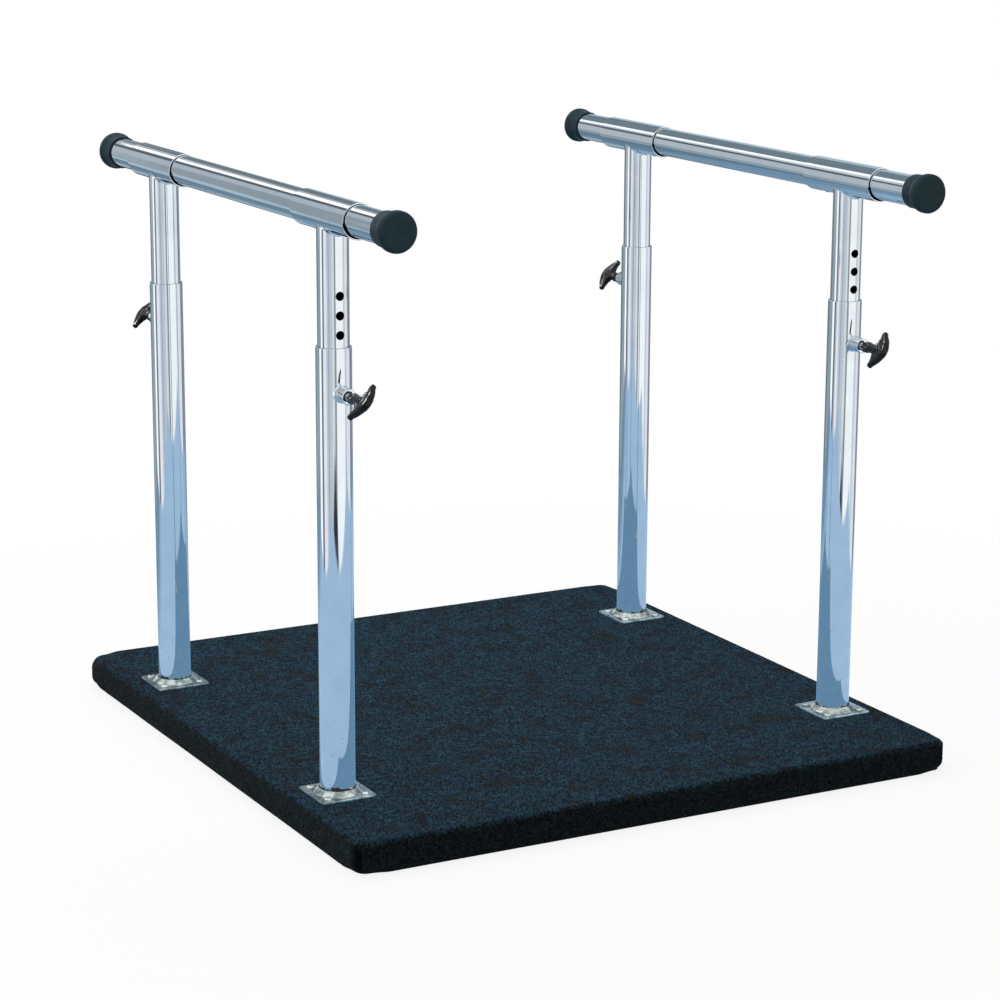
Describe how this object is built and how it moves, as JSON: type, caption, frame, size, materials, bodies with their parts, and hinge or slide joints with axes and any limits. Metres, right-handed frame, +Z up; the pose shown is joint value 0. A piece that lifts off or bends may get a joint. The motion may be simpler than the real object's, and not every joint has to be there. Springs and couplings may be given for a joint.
{
  "type": "balance platform",
  "caption": "Low carpeted floor platform for balance training, with a handrail along each side that telescopes up and down and is locked by knobs at the posts.",
  "frame": {"origin": "on the floor under the middle of the platform", "axes": "+Z up, +Y along the handrails from the front end to the rear end, +X to the right-hand rail"},
  "size_m": [0.9276, 0.9686, 0.8498],
  "materials": {
    "plywood": "sanded birch plywood",
    "carpet": "dark blue heather loop carpet",
    "chrome_tube": "polished chrome plating",
    "zinc_plate": "zinc plated",
    "knob_plastic": "glossy black moulding",
    "tip_rubber": "satin black rubber"
  },
  "bodies": {
    "platform": {"platform_board": "plywood", "carpet_cover": "carpet", "left_front_flange": "zinc_plate", "left_front_flange_screw_1": "zinc_plate", "left_front_flange_screw_2": "zinc_plate", "left_front_flange_screw_3": "zinc_plate", "left_front_flange_screw_4": "zinc_plate", "left_front_outer_post": "chrome_tube", "left_front_pin_boss": "chrome_tube", "left_rear_flange": "zinc_plate", "left_rear_flange_screw_1": "zinc_plate", "left_rear_flange_screw_2": "zinc_plate", "left_rear_flange_screw_3": "zinc_plate", "left_rear_flange_screw_4": "zinc_plate", "left_rear_outer_post": "chrome_tube", "left_rear_pin_boss": "chrome_tube", "right_front_flange": "zinc_plate", "right_front_flange_screw_1": "zinc_plate", "right_front_flange_screw_2": "zinc_plate", "right_front_flange_screw_3": "zinc_plate", "right_front_flange_screw_4": "zinc_plate", "right_front_outer_post": "chrome_tube", "right_front_pin_boss": "chrome_tube", "right_rear_flange": "zinc_plate", "right_rear_flange_screw_1": "zinc_plate", "right_rear_flange_screw_2": "zinc_plate", "right_rear_flange_screw_3": "zinc_plate", "right_rear_flange_screw_4": "zinc_plate", "right_rear_outer_post": "chrome_tube", "right_rear_pin_boss": "chrome_tube"},
    "left_rail": {"left_handrail": "chrome_tube", "left_front_inner_post": "chrome_tube", "left_front_sleeve": "chrome_tube", "left_front_set_screw": "zinc_plate", "left_front_rail_tip": "tip_rubber", "left_rear_inner_post": "chrome_tube", "left_rear_sleeve": "chrome_tube", "left_rear_set_screw": "zinc_plate", "left_rear_rail_tip": "tip_rubber"},
    "right_rail": {"right_handrail": "chrome_tube", "right_front_inner_post": "chrome_tube", "right_front_sleeve": "chrome_tube", "right_front_set_screw": "zinc_plate", "right_front_rail_tip": "tip_rubber", "right_rear_inner_post": "chrome_tube", "right_rear_sleeve": "chrome_tube", "right_rear_set_screw": "zinc_plate", "right_rear_rail_tip": "tip_rubber"},
    "left_front_pin": {"left_front_lock_pin": "chrome_tube"},
    "left_front_knob": {"left_front_knob": "knob_plastic"},
    "left_rear_pin": {"left_rear_lock_pin": "chrome_tube"},
    "left_rear_knob": {"left_rear_knob": "knob_plastic"},
    "right_front_pin": {"right_front_lock_pin": "chrome_tube"},
    "right_front_knob": {"right_front_knob": "knob_plastic"},
    "right_rear_pin": {"right_rear_lock_pin": "chrome_tube"},
    "right_rear_knob": {"right_rear_knob": "knob_plastic"}
  },
  "joints": [
    {"name": "left_rail_slide", "type": "slide", "parent": "platform", "child": "left_rail", "axis": [0, 0, 1], "range_m": [-0.127, 0.127]},
    {"name": "right_rail_slide", "type": "slide", "parent": "platform", "child": "right_rail", "axis": [0, 0, 1], "range_m": [-0.127, 0.127]},
    {"name": "left_front_knob_turn", "type": "hinge", "parent": "left_front_pin", "child": "left_front_knob", "pos_m": [-0.3985, -0.287, 0.59215], "axis": [0, 1, 0], "range_deg": [0, 720]},
    {"name": "left_front_pin_slide", "type": "slide", "parent": "platform", "child": "left_front_pin", "axis": [0, 1, 0], "range_m": [0, 0.0035]},
    {"name": "left_rear_knob_turn", "type": "hinge", "parent": "left_rear_pin", "child": "left_rear_knob", "pos_m": [-0.3985, 0.287, 0.59215], "axis": [0, -1, 0], "range_deg": [0, 720]},
    {"name": "left_rear_pin_slide", "type": "slide", "parent": "platform", "child": "left_rear_pin", "axis": [0, -1, 0], "range_m": [0, 0.0035]},
    {"name": "right_front_knob_turn", "type": "hinge", "parent": "right_front_pin", "child": "right_front_knob", "pos_m": [0.3985, -0.287, 0.59215], "axis": [0, 1, 0], "range_deg": [0, 720]},
    {"name": "right_front_pin_slide", "type": "slide", "parent": "platform", "child": "right_front_pin", "axis": [0, 1, 0], "range_m": [0, 0.0035]},
    {"name": "right_rear_knob_turn", "type": "hinge", "parent": "right_rear_pin", "child": "right_rear_knob", "pos_m": [0.3985, 0.287, 0.59215], "axis": [0, -1, 0], "range_deg": [0, 720]},
    {"name": "right_rear_pin_slide", "type": "slide", "parent": "platform", "child": "right_rear_pin", "axis": [0, -1, 0], "range_m": [0, 0.0035]}
  ],
  "couplings": [
    {"joint": "left_front_knob_turn", "follows": "left_front_pin_slide", "rad_per_m": 3590.4},
    {"joint": "left_rear_knob_turn", "follows": "left_rear_pin_slide", "rad_per_m": 3590.4},
    {"joint": "right_front_knob_turn", "follows": "right_front_pin_slide", "rad_per_m": 3590.4},
    {"joint": "right_rear_knob_turn", "follows": "right_rear_pin_slide", "rad_per_m": 3590.4}
  ]
}
